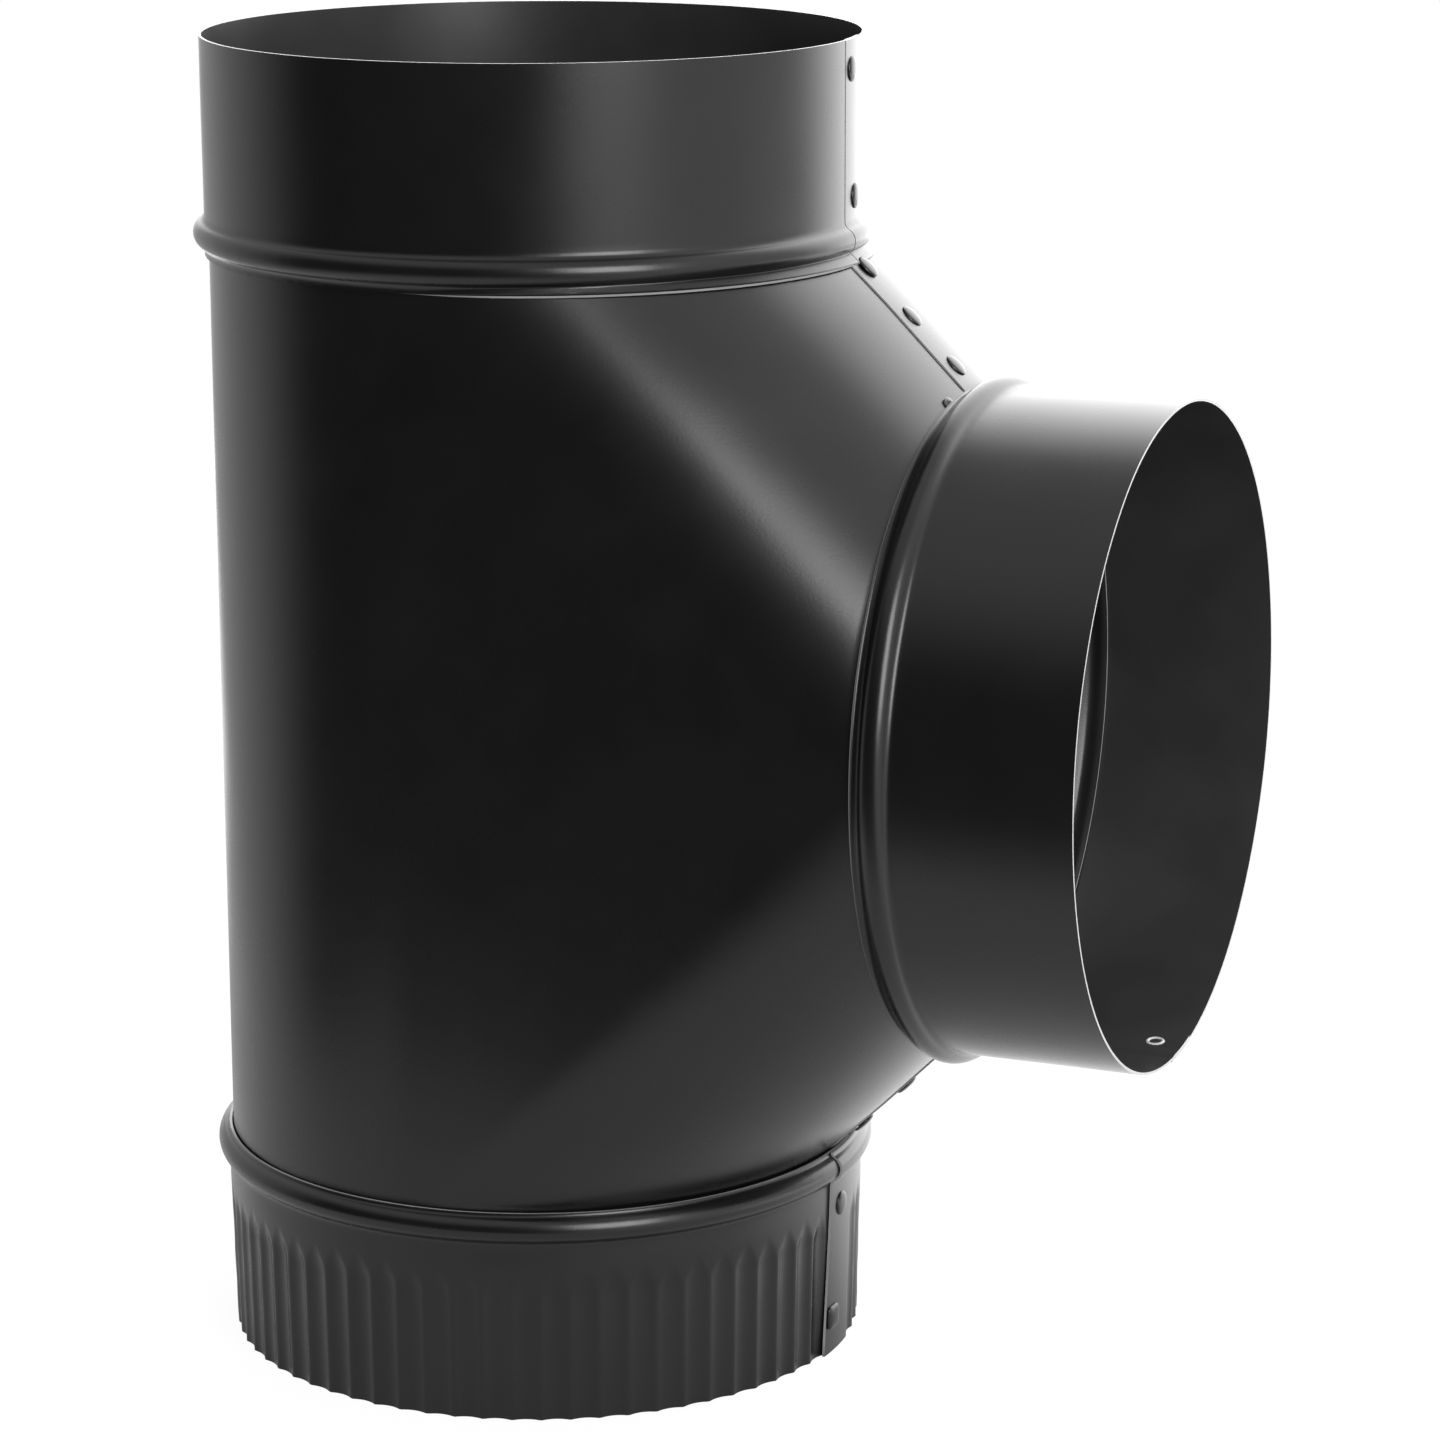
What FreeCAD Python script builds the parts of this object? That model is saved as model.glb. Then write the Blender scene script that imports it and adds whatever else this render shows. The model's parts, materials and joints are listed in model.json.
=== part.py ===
import FreeCAD, Part
import math
import os
import Sketcher

# Stove pipe tee of rolled black sheet, in millimetres.
# The origin is the centre of the crimped lower end, +Z runs up the flue and +X along the branch.

Vector = FreeCAD.Vector
Placement = FreeCAD.Placement
Rotation = FreeCAD.Rotation

UP = Vector(0, 0, 1)
ALONG_BRANCH = Vector(1, 0, 0)

DRIVING_SIZES = (
    ("sheet_gauge", 0.6, "thickness of every sheet"),
    ("bore_radius", 76.2, "inside radius of the three collars"),
    ("nest_gap", 0.4, "room between the body's necks and the collars around them"),
    ("overall_height", 312.6, "crimped edge to top rim"),
    ("branch_height", 158.5, "crimped edge to the branch's axis"),
    ("branch_reach", 158.8, "run's axis to the branch's rim"),
    ("top_bead_depth", 45.5, "top rim to the crest of its bead"),
    ("branch_bead_depth", 45.5, "branch rim to the crest of its bead"),
    ("bottom_bead_height", 46.8, "crimped edge to the crest of the bottom bead"),
    ("top_fold_gap", 0.6, "body's fold to the crest of the top bead, at least"),
    ("branch_fold_gap", 5.3, "body's fold to the crest of the branch bead, at least"),
    ("bottom_fold_gap", 3.7, "body's fold to the crest of the bottom bead, at least"),
    ("bead_rise", 2.6, "height of a bead over its collar"),
    ("bead_radius", 3.2, "outside radius of a bead's section"),
    ("bead_fillet", 2.0, "outside radius where a bead runs into its collar"),
    ("skirt_length", 0.3, "foot of a socket collar's bead to its inner edge"),
    ("neck_past_bead", 4.5, "bead crest to the end of the body's neck"),
    ("lap_width", 14.0, "overlap of a riveted seam"),
    ("lap_turn", 60.0, "degrees in which a lap's outer layer comes back to the round"),
    ("top_seam_angle", 1.5, "degrees from the branch side to the top collar's cut edge"),
    ("branch_seam_angle", 0.0, "degrees from straight down to the branch collar's cut edge"),
    ("bottom_seam_angle", -5.2, "degrees from the branch side to the bottom collar's cut edge"),
    ("crotch_seam_offset", -2.0, "cut edge of the body's seams, sideways from the middle"),
    ("crimp_count", 70.0, "crimps in a whole turn"),
    ("crimp_depth", 1.3, "crest to valley of a crimp"),
    ("crimp_drop", 9.3, "crest of the bottom bead to the top of the crimps"),
    ("crimp_crest_angle", -10.2, "degrees from the branch side to a crest of the crimps"),
    ("crimp_step", 0.2, "plain collar to the crests of the crimps, inwards"),
    ("crimp_fade", 5.0, "length in which a crimp reaches its depth"),
    ("crimp_free_angle", 12.0, "degrees after the cut edge that stay plain, at least"),
    ("crimped_rim_radius", 76.0, "outside radius of the crests at the lower edge"),
    ("rivet_head_radius", 2.9, "rivet head"),
    ("rivet_head_rise", 1.1, "rivet head"),
    ("rivet_shank_radius", 1.6, "rivet shank"),
    ("rivet_tail_radius", 2.3, "spread inner end of a rivet"),
    ("rivet_tail_rise", 0.2, "spread inner end of a rivet"),
    ("rivet_mouth_radius", 1.2, "hollow of the inner end"),
    ("rivet_clearance", 0.1, "between a rivet and the sheets it holds"),
    ("outer_rivet_depth", 6.8, "rim to the outer rivet of a socket collar"),
    ("inner_rivet_rise", 9.5, "crest of a socket collar's bead to its inner rivet"),
    ("bottom_rivet_low", 9.1, "crimped edge to the lower rivet"),
    ("bottom_rivet_drop", 10.2, "crest of the bottom bead to the upper rivet"),
    ("top_outer_inset", 4.4, "cut edge to the top collar's outer rivet"),
    ("top_inner_inset", 7.6, "cut edge to the top collar's inner rivet"),
    ("branch_inset", 9.1, "cut edge to the branch collar's rivets"),
    ("bottom_low_inset", 3.2, "cut edge to the bottom collar's lower rivet"),
    ("bottom_high_inset", 7.0, "cut edge to the bottom collar's upper rivet"),
    ("crotch_rivet_inset", 6.5, "cut edge to the body's rivet line"),
    ("crotch_rivet_start", 7.6, "fold to the first rivet, along the slope"),
    ("crotch_rivet_pitch", 15.2, "rivet to rivet, along the slope"),
    ("crotch_rivet_end", 7.0, "last rivet to the fold at the branch, along the slope, at least"),
)

doc = FreeCAD.newDocument("StovePipeTee")
sheet = doc.addObject("Spreadsheet::Sheet", "Sizes")
for row, (alias, value, meaning) in enumerate(DRIVING_SIZES, start=1):
    sheet.set("A%d" % row, meaning)
    sheet.set("B%d" % row, str(value))
    sheet.setAlias("B%d" % row, alias)
doc.recompute()


def size(alias):
    return float(sheet.get(alias))


gauge = size("sheet_gauge")
bore = size("bore_radius")
gap = size("nest_gap")
collar_radius = bore + gauge
body_radius = bore - gap
top_rim = size("overall_height")
branch_height = size("branch_height")
branch_rim = size("branch_reach")
top_crest = top_rim - size("top_bead_depth")
branch_crest = branch_rim - size("branch_bead_depth")
bottom_crest = size("bottom_bead_height")
# The body is the largest wedge for which the three collars leave room. Its folds lie this far out.
fold = min(
    top_crest - size("top_fold_gap") - branch_height,
    branch_height - size("bottom_fold_gap") - bottom_crest,
    branch_crest - size("branch_fold_gap"),
)
bead_radius = size("bead_radius")
bead_fillet = size("bead_fillet")
bead_centre = collar_radius + size("bead_rise") - bead_radius
bead_foot = math.sqrt((bead_radius + bead_fillet) ** 2 - (collar_radius + bead_fillet - bead_centre) ** 2)
skirt = bead_foot + size("skirt_length")
lap_turn = size("lap_turn")
rivet_clearance = size("rivet_clearance")

# A layer pressed a twentieth of its thickness into the one below is one metal with it.
LAP_PRESS = 0.95
# The outer layer of a crotch seam is thick enough to model up to this many degrees from its end.
CROTCH_RUNOUT = 24
SLOPE = math.sqrt(2)
# An offset by one of both sides of a 135 degree fold moves the fold line by this.
FOLD_SHIFT = SLOPE - 1
# The beads of the necks are flat topped, with corners this far round from the crest.
NECK_BEAD_CORNER = math.radians(30)
# The crimped end reaches this far into the collar above it, and starts its crimps as far below.
CRIMP_OVERLAP = 0.3
# No corner of the crimps comes closer than this many degrees to a strip's end.
CORNER_ROOM = 0.02
# Crests and valleys of the crimps are flat up to these shares of a pitch from the crest.
CREST_SHARE = 0.16
VALLEY_SHARE = 0.36


def unit(degrees):
    """Direction in the XY plane at an angle from +X."""
    return Vector(math.cos(math.radians(degrees)), math.sin(math.radians(degrees)), 0)


def feature(name, shape):
    made = doc.addObject("Part::Feature", name)
    made.Shape = shape
    return made


def boolean(kind, name, base, tools):
    """Part::Cut, Part::Fuse or Part::Common of a base with one or more tools."""
    tool = tools[0]
    if len(tools) > 1:
        tool = doc.addObject("Part::MultiFuse", name + "Tools")
        tool.Shapes = tools
    made = doc.addObject("Part::" + kind, name)
    made.Base = base
    made.Tool = tool
    return made


def cylinder(name, radius, height, at, direction=UP):
    """radius and height are expressions over the sheet."""
    made = doc.addObject("Part::Cylinder", name)
    made.setExpression("Radius", radius)
    made.setExpression("Height", height)
    made.Placement = Placement(at, Rotation(UP, direction))
    return made


def draw(sketch, path):
    """Adds the closed path to the sketch, joined end to end, with the radius of each arc held.

    Each step is a point, or a point with the centre of the arc to it and the arc's turn."""
    ends = []
    here = path[0][0]
    for step in path[1:]:
        there = step[0]
        if len(step) == 1:
            made = sketch.addGeometry(Part.LineSegment(here, there))
            ends.append((made, 1, 2))
        else:
            centre, turn = step[1:]
            first, last = (here, there) if turn > 0 else (there, here)
            angles = [math.atan2(point.y - centre.y, point.x - centre.x) for point in (first, last)]
            circle = Part.Circle(centre, Vector(0, 0, 1), here.distanceToPoint(centre))
            made = sketch.addGeometry(Part.ArcOfCircle(circle, *angles))
            ends.append((made, 1, 2) if turn > 0 else (made, 2, 1))
            sketch.addConstraint(Sketcher.Constraint("Radius", made, circle.Radius))
        here = there
    for (edge, _, last), (following, first, _) in zip(ends, ends[1:] + ends[:1]):
        sketch.addConstraint(Sketcher.Constraint("Coincident", edge, last, following, first))


def section(name, path):
    """Body with the path drawn in its XZ plane."""
    body = doc.addObject("PartDesign::Body", name)
    sketch = body.newObject("Sketcher::SketchObject", name + "Section")
    plane = [item for item in body.Origin.OriginFeatures if item.Role == "XZ_Plane"]
    sketch.AttachmentSupport = (plane[0], [""])
    sketch.MapMode = "FlatFace"
    draw(sketch, path)
    return body, sketch


def turned(name, path, placement):
    """Body of a section turned once round its frame's Z axis."""
    body, sketch = section(name, path)
    once_round = body.newObject("PartDesign::Revolution", name + "Turned")
    once_round.Profile = sketch
    once_round.ReferenceAxis = (sketch, ["V_Axis"])
    once_round.Angle = 360
    body.Placement = placement
    return body


def name_of(label):
    return "".join(word.capitalize() for word in label.split("_"))


# Body shell

def arc(start, middle, end):
    return Part.Arc(start, middle, end).toShape()


def hull_solid(radius, top_fold, bottom_fold, branch_fold):
    """Solid that wraps three circles: the run's two ends and the branch's end."""
    middle = branch_height
    side = Vector(0, radius, bottom_fold)
    other_side = Vector(0, -radius, bottom_fold)
    back_edge = arc(side, Vector(-radius, 0, bottom_fold), other_side)
    faces = [back_edge.extrude(Vector(0, 0, top_fold - bottom_fold))]
    branch_end = []
    for level, side in ((top_fold, 1), (bottom_fold, -1)):
        front = arc(Vector(0, -radius, level), Vector(radius, 0, level), Vector(0, radius, level))
        back = arc(Vector(0, radius, level), Vector(-radius, 0, level), Vector(0, -radius, level))
        mouth = arc(
            Vector(branch_fold, -radius, middle),
            Vector(branch_fold, 0, middle + side * radius),
            Vector(branch_fold, radius, middle),
        )
        faces.append(Part.makeRuledSurface(front, mouth))
        faces.append(Part.Face(Part.Wire([front, back])))
        branch_end.append(mouth)
    faces.append(Part.Face(Part.Wire(Part.__sortEdges__(branch_end))))
    for y in (-radius, radius):
        corners = [Vector(0, y, top_fold), Vector(branch_fold, y, middle), Vector(0, y, bottom_fold)]
        faces.append(Part.Face(Part.makePolygon(corners + corners[:1])))
    shell = Part.Shell(faces)
    shell.sewShape()
    solid = Part.Solid(shell)
    if solid.Volume < 0:
        solid.reverse()
    return solid


def neck_path(radius, bead, start, end):
    """Half section of a straight neck, its bead's crest at height 0."""
    foot = math.sqrt(bead ** 2 - (bead_centre - radius) ** 2)
    top = bead_centre + bead * math.cos(NECK_BEAD_CORNER)
    flat = bead * math.sin(NECK_BEAD_CORNER)
    corners = (
        (0, start),
        (radius, start),
        (radius, -foot),
        (top, -flat),
        (top, flat),
        (radius, foot),
        (radius, end),
        (0, end),
        (0, start),
    )
    return [(Vector(across, along, 0),) for across, along in corners]


def neck_solids(prefix, radius, bead, reach, top_fold, bottom_fold, branch_fold):
    """Straight necks past the folds, each with the bead that locks it into its collar."""
    necks = (
        ("Top", Vector(0, 0, top_crest), UP, top_fold - top_crest),
        ("Bottom", Vector(0, 0, bottom_crest), -UP, bottom_crest - bottom_fold),
        ("Branch", Vector(branch_crest, 0, branch_height), ALONG_BRANCH, branch_fold - branch_crest),
    )
    made = []
    for label, crest, direction, start in necks:
        path = neck_path(radius, bead, start, size("neck_past_bead") + reach)
        made.append(turned(prefix + label + "Neck", path, Placement(crest, Rotation(UP, direction))))
    return made


def crotch_region(centre_x, radius, inside, start, end):
    """Oblique prism under a crotch seam's outer layer, which is back to the round at end."""
    step = SLOPE * gauge * LAP_PRESS / (1 - math.cos(math.radians(lap_turn)))
    middle = Vector(centre_x, 0, 0)
    shifted = middle - unit(end) * step
    last = end - CROTCH_RUNOUT
    angles = (start, (start + last) / 2, last)
    over = [shifted + unit(angle) * (radius + step) for angle in angles]
    under = [middle + unit(angle) * inside for angle in angles]
    edges = [
        arc(over[0], over[1], over[2]),
        Part.makeLine(over[2], under[2]),
        arc(under[2], under[1], under[0]),
        Part.makeLine(under[0], over[0]),
    ]
    face = Part.Face(Part.Wire(edges))
    face.translate(Vector(0, 0, branch_height + fold))
    return face.extrude(Vector(2 * fold, 0, -2 * fold))


def both_crotches(name, solid, top_limit, bottom_limit):
    """The solid cut to the upper crotch, and its mirror image cut to the lower one."""
    width = 4 * bore
    upper = Part.makeBox(fold, width, top_limit - branch_height, Vector(0, -width / 2, branch_height))
    lower = Part.makeBox(fold, width, branch_height - bottom_limit, Vector(0, -width / 2, bottom_limit))
    mirrored = solid.mirror(Vector(0, 0, branch_height), UP)
    return [
        feature("Upper" + name, solid.common(upper)),
        feature("Lower" + name, mirrored.common(lower)),
    ]


seam_start = math.degrees(math.asin(size("crotch_seam_offset") / body_radius))
seam_end = seam_start + lap_turn
inner_edge = seam_start + math.degrees(size("lap_width") / body_radius)
top_fold = branch_height + fold
bottom_fold = branch_height - fold
seam_top = top_crest - skirt - gap
seam_bottom = bottom_crest + bead_radius + gap


def crotch_point(inset, along):
    """Point and outward normal on the upper seam's outer layer, and the grip of a rivet there."""
    step = SLOPE * gauge * LAP_PRESS / (1 - math.cos(math.radians(lap_turn)))
    turn = seam_start + math.degrees(inset / body_radius)
    centre = -unit(seam_end) * step
    ring = centre + unit(turn) * (body_radius + step)
    inner = Vector(-FOLD_SHIFT * gauge, 0, 0) + unit(turn) * (body_radius - gauge)
    normal = Vector(unit(turn).x, unit(turn).y, unit(turn).x).normalize()
    travel = along / SLOPE
    point = ring + Vector(travel, 0, top_fold - travel)
    return point, normal, (ring - inner).dot(normal)


def mirrored(vector, height):
    """Mirror image through the branch's axis, for a point (height set) or a direction (0)."""
    return Vector(vector.x, vector.y, 2 * height - vector.z)


outer_parts = [feature("OuterHull", hull_solid(body_radius, top_fold, bottom_fold, fold))]
outer_parts += neck_solids(
    "Outer", body_radius, bead_radius - gauge - gap, 0, top_fold, bottom_fold, fold
)
inner_folds = (
    top_fold - FOLD_SHIFT * gauge,
    bottom_fold + FOLD_SHIFT * gauge,
    fold - FOLD_SHIFT * gauge,
)
inner_parts = [feature("InnerHull", hull_solid(body_radius - gauge, *inner_folds))]
inner_parts += neck_solids(
    "Inner", body_radius - gauge, bead_radius - 2 * gauge - gap, 2 * gauge, *inner_folds
)
outside = doc.addObject("Part::MultiFuse", "BodyOutside")
outside.Shapes = outer_parts
inside = doc.addObject("Part::MultiFuse", "BodyInside")
inside.Shapes = inner_parts
plain_shell = boolean("Cut", "PlainShell", outside, [inside])
lap_pads = both_crotches(
    "LapPad",
    crotch_region(0, body_radius, body_radius - gauge / 2, seam_start, seam_end),
    seam_top,
    seam_bottom,
)
lap_pockets = both_crotches(
    "LapPocket",
    crotch_region(
        -FOLD_SHIFT * gauge,
        body_radius - gauge,
        body_radius - 3 * gauge,
        inner_edge,
        seam_end,
    ),
    seam_top,
    seam_bottom,
)
lapped_shell = boolean("Fuse", "LappedShell", plain_shell, lap_pads)


# Collars

def bead_corner(side, of_bead, of_fillet):
    """Where a bead's arc meets the fillet on one side of it, and the fillet's centre."""
    centre = Vector(collar_radius + bead_fillet, side * bead_foot, 0)
    crest = Vector(bead_centre, 0, 0)
    along = (centre - crest) * (of_bead / (of_bead + of_fillet))
    return crest + along, centre


def lower_half(end):
    """Outer side of a bead below its crest, the edge at end, and back up its inner side."""
    crest = Vector(bead_centre, 0, 0)
    outer, centre = bead_corner(-1, bead_radius, bead_fillet)
    inner = bead_corner(-1, bead_radius - gauge, bead_fillet + gauge)[0]
    return [
        (outer, crest, -1),
        (Vector(collar_radius, -bead_foot, 0), centre, 1),
        (Vector(collar_radius, end, 0),),
        (Vector(bore, end, 0),),
        (Vector(bore, -bead_foot, 0),),
        (inner, centre, -1),
    ]


def socket_profile(rim):
    """Section of a socket collar, its bead's crest at height 0 and its rim at height rim."""
    crest = Vector(bead_centre, 0, 0)
    outer, centre = bead_corner(1, bead_radius, bead_fillet)
    inner = bead_corner(1, bead_radius - gauge, bead_fillet + gauge)[0]
    start = Vector(collar_radius, rim, 0)
    upper_side = [(start,), (Vector(collar_radius, bead_foot, 0),), (outer, centre, 1)]
    inner_foot = Vector(bore, bead_foot, 0)
    inner_side = [(inner, crest, 1), (inner_foot, centre, -1), (Vector(bore, rim, 0),), (start,)]
    return upper_side + lower_half(-skirt) + inner_side


def bottom_profile(end):
    """Section of the bottom collar, which starts at the top of its bead and runs down to end."""
    crest = Vector(bead_centre, 0, 0)
    start = crest + Vector(0, bead_radius, 0)
    return [(start,)] + lower_half(end) + [(start - Vector(0, gauge, 0), crest, 1), (start,)]


def rolled_collar(label, path, placement):
    """Strip rolled once round, whose outer end rises over its inner end in a riveted lap.

    The section stands where the two meet again. The strip turns from there about the
    collar's axis, and its outer end turns back about an axis one lap step further away."""
    body, sketch = section(name_of(label) + "Roll", path)
    axis = sketch.addGeometry(
        Part.LineSegment(Vector(-lap_shift, 0, 0), Vector(-lap_shift, collar_radius, 0)), True
    )
    sketch.addConstraint(Sketcher.Constraint("Vertical", axis))
    offset = sketch.addConstraint(Sketcher.Constraint("DistanceX", axis, 1, -1, 1, lap_shift))
    sketch.renameConstraint(offset, "lap_shift")
    sketch.setExpression(
        "Constraints.lap_shift",
        "Sizes.sheet_gauge * %s / (1 - cos(Sizes.lap_turn * 1deg))" % LAP_PRESS,
    )
    round_part = body.newObject("PartDesign::Revolution", name_of(label) + "Round")
    round_part.Profile = sketch
    round_part.ReferenceAxis = (sketch, ["V_Axis"])
    round_part.setExpression(
        "Angle", "360 - Sizes.lap_turn + Sizes.lap_width / (Sizes.bore_radius + Sizes.sheet_gauge) * 180 / pi"
    )
    outer_end = body.newObject("PartDesign::Revolution", name_of(label) + "OuterEnd")
    outer_end.Profile = sketch
    outer_end.ReferenceAxis = (sketch, ["Axis0"])
    outer_end.setExpression("Angle", "Sizes.lap_turn")
    outer_end.Reversed = True
    body.Placement = placement
    return body


lap_shift = gauge * LAP_PRESS / (1 - math.cos(math.radians(lap_turn)))
BRANCH_FRAME = Rotation(Vector(0, 0, -1), Vector(0, 1, 0), Vector(1, 0, 0), "ZXY")


def collar_frame(axis_point, frame, seam_angle):
    """Frame of a collar whose section stands a lap's turn past its cut edge."""
    return Placement(axis_point, frame.multiply(Rotation(UP, seam_angle + lap_turn)))


top_frame = collar_frame(Vector(0, 0, top_crest), Rotation(), size("top_seam_angle"))
branch_frame = collar_frame(Vector(branch_crest, 0, branch_height), BRANCH_FRAME, size("branch_seam_angle"))
bottom_frame = collar_frame(Vector(0, 0, bottom_crest), Rotation(), size("bottom_seam_angle"))
crimp_top = bottom_crest - size("crimp_drop")
top_roll = rolled_collar("top_collar", socket_profile(top_rim - top_crest), top_frame)
branch_roll = rolled_collar("branch_collar", socket_profile(branch_rim - branch_crest), branch_frame)
bottom_roll = rolled_collar("bottom_collar", bottom_profile(crimp_top - bottom_crest), bottom_frame)


# Crimped end of the bottom collar

crimp_pitch = 360 / size("crimp_count")
crimp_step = size("crimp_step")
crest_angle = size("crimp_crest_angle")
bottom_cut = size("bottom_seam_angle")
bottom_join = bottom_cut + lap_turn
bottom_under = bottom_cut + 360 + math.degrees(size("lap_width") / collar_radius)
crimp_levels = (
    (crimp_top + CRIMP_OVERLAP, 0),
    (crimp_top - CRIMP_OVERLAP, 0),
    (crimp_top - size("crimp_fade"), 1),
    (0, 1),
)
plain_crests = (bottom_cut + size("crimp_free_angle") - crest_angle) / crimp_pitch
first_crest = crest_angle + crimp_pitch * math.ceil(plain_crests)
last_crest = crest_angle + crimp_pitch * math.floor((bottom_cut + 360 - crest_angle) / crimp_pitch)


def taper(level):
    """Scale of the crimped strip at a height, which brings its crests to their radius at the edge."""
    return 1 - (1 - size("crimped_rim_radius") / (collar_radius - crimp_step)) * (1 - level / crimp_top)


def crimp_share(angle):
    """Share of the crimps' depth at an angle."""
    if not first_crest < angle < last_crest:
        return 0
    turn = (angle - crest_angle) / crimp_pitch % 1
    rise = (min(turn, 1 - turn) - CREST_SHARE) / (VALLEY_SHARE - CREST_SHARE)
    return min(max(rise, 0), 1)


def crimped_strip(name, first, last, centre, extra):
    """Strip between two angles about centre, which turns into crimps as it goes down."""
    angles = [first]
    for crest in range(math.floor((first - crest_angle) / crimp_pitch), 2 * int(size("crimp_count"))):
        for turn in (-CREST_SHARE, CREST_SHARE, VALLEY_SHARE, 1 - VALLEY_SHARE):
            angle = crest_angle + (crest + turn) * crimp_pitch
            if first + CORNER_ROOM < angle < last - CORNER_ROOM:
                angles.append(angle)
    angles.append(last)
    rings = []
    for level, depth in crimp_levels:
        skins = []
        for skin in (crimp_step, crimp_step + gauge):
            points = []
            for angle in angles:
                radius = collar_radius + extra - skin - depth * size("crimp_depth") * crimp_share(angle)
                scale = taper(min(level, crimp_top))
                points.append((centre + unit(angle) * radius) * scale + UP * level)
            skins.append(points)
        rings.append(skins[0] + skins[1][::-1])
    faces = [Part.Face(Part.makePolygon(ring + ring[:1])) for ring in (rings[0], rings[-1])]
    for upper, lower in zip(rings, rings[1:]):
        corners = zip(upper, upper[1:] + upper[:1], lower[1:] + lower[:1], lower)
        for first_up, next_up, next_down, first_down in corners:
            if upper is rings[1]:
                outlines = [(first_up, next_up, next_down), (first_up, next_down, first_down)]
            else:
                outlines = [(first_up, next_up, next_down, first_down)]
            for outline in outlines:
                faces.append(Part.Face(Part.makePolygon(outline + outline[:1])))
    shell = Part.Shell(faces)
    shell.sewShape()
    solid = Part.Solid(shell)
    if solid.Volume < 0:
        solid.reverse()
    return feature(name, solid)


crimped_round = crimped_strip("CrimpedRound", bottom_join, bottom_under, Vector(), 0)
crimped_end_centre = -unit(bottom_join) * lap_shift
crimped_outer_end = crimped_strip(
    "CrimpedOuterEnd", bottom_cut, bottom_join, crimped_end_centre, lap_shift
)
bottom_ring = doc.addObject("Part::MultiFuse", "BottomRing")
bottom_ring.Shapes = [bottom_roll, crimped_round, crimped_outer_end]

# Skirt of the top collar, which follows the fold towards the branch


def sloped_solid(radius, past):
    """Hull of the three circles, a distance past the body's."""
    shift = FOLD_SHIFT * past
    return hull_solid(radius, top_fold + shift, bottom_fold - shift, fold + shift)


def wall_core():
    """Section of the collar's inside up to the middle of its wall, below the bead's shoulder."""
    middle = (bore + collar_radius) / 2
    crest = Vector(bead_centre, 0, 0)
    corner, centre = bead_corner(-1, bead_radius - gauge / 2, bead_fillet + gauge / 2)
    shoulder = crest + Vector(1, -1, 0).normalize() * (bead_radius - gauge / 2)
    return [
        (Vector(0, shoulder.y, 0),),
        (Vector(0, -2 * skirt, 0),),
        (Vector(middle, -2 * skirt, 0),),
        (Vector(middle, -bead_foot, 0),),
        (corner, centre, -1),
        (shoulder, crest, 1),
        (Vector(0, shoulder.y, 0),),
    ]


FLARE_CLEARANCE = 0.05
flare_core = turned("FlareCore", wall_core(), Placement(Vector(0, 0, top_crest), Rotation()))
doc.recompute()
flare_band = Part.makeBox(
    fold,
    4 * bore,
    skirt - bead_radius / SLOPE - FLARE_CLEARANCE,
    Vector(0, -2 * bore, top_crest - skirt),
)
flare = sloped_solid(collar_radius - FLARE_CLEARANCE, gap + gauge).common(flare_band)
top_flare = feature("TopFlare", flare.cut(flare_core.Shape))
slope_room = feature("SlopeRoom", sloped_solid(bore - 2 * FLARE_CLEARANCE, gap))
top_ring = boolean("Fuse", "TopRing", top_roll, [top_flare])

# Rivets


def rivet_path(grip):
    """Section of a rivet, its seat at height 0: domed head, shank and spread hollow end."""
    head = size("rivet_head_radius")
    rise = size("rivet_head_rise")
    shank = size("rivet_shank_radius")
    dome = (head ** 2 + rise ** 2) / (2 * rise)
    return [
        (Vector(0, rise, 0),),
        (Vector(0, -grip, 0),),
        (Vector(size("rivet_mouth_radius"), -grip - size("rivet_tail_rise"), 0),),
        (Vector(size("rivet_tail_radius"), -grip, 0),),
        (Vector(shank, -grip, 0),),
        (Vector(shank, 0, 0),),
        (Vector(head, 0, 0),),
        (Vector(0, rise, 0), Vector(0, rise - dome, 0), 1),
    ]


def rivet(label, seat, outward, stack):
    """Rivet whose seat clears a stack of sheets, and the hole for its shank in them."""
    grip = stack + 2 * rivet_clearance
    place = Placement(seat + outward * rivet_clearance, Rotation(UP, outward))
    body = turned(name_of(label), rivet_path(grip), place)
    body.Label = label
    hole = cylinder(
        name_of(label) + "Hole",
        "Sizes.rivet_shank_radius + Sizes.rivet_clearance",
        "2 * Sizes.rivet_head_radius",
        seat + outward * gauge,
        -outward,
    )
    return body, hole


def collar_rivet(label, collar, inset, height, tube_radius, step=0):
    """Rivet through a collar's lap, at a height in the collar's frame.

    Step is how far the wall under its inner end lies inside the wall under its head."""
    turn = -lap_turn + math.degrees(inset / collar_radius)
    shift = Vector(-lap_shift, 0, 0)
    surface = shift + unit(turn) * (tube_radius + lap_shift)
    stack = surface.Length - tube_radius + gauge + step
    seat = collar.multVec(surface + Vector(0, 0, height))
    return rivet(label, seat, collar.Rotation.multVec(unit(turn)), stack)


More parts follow.
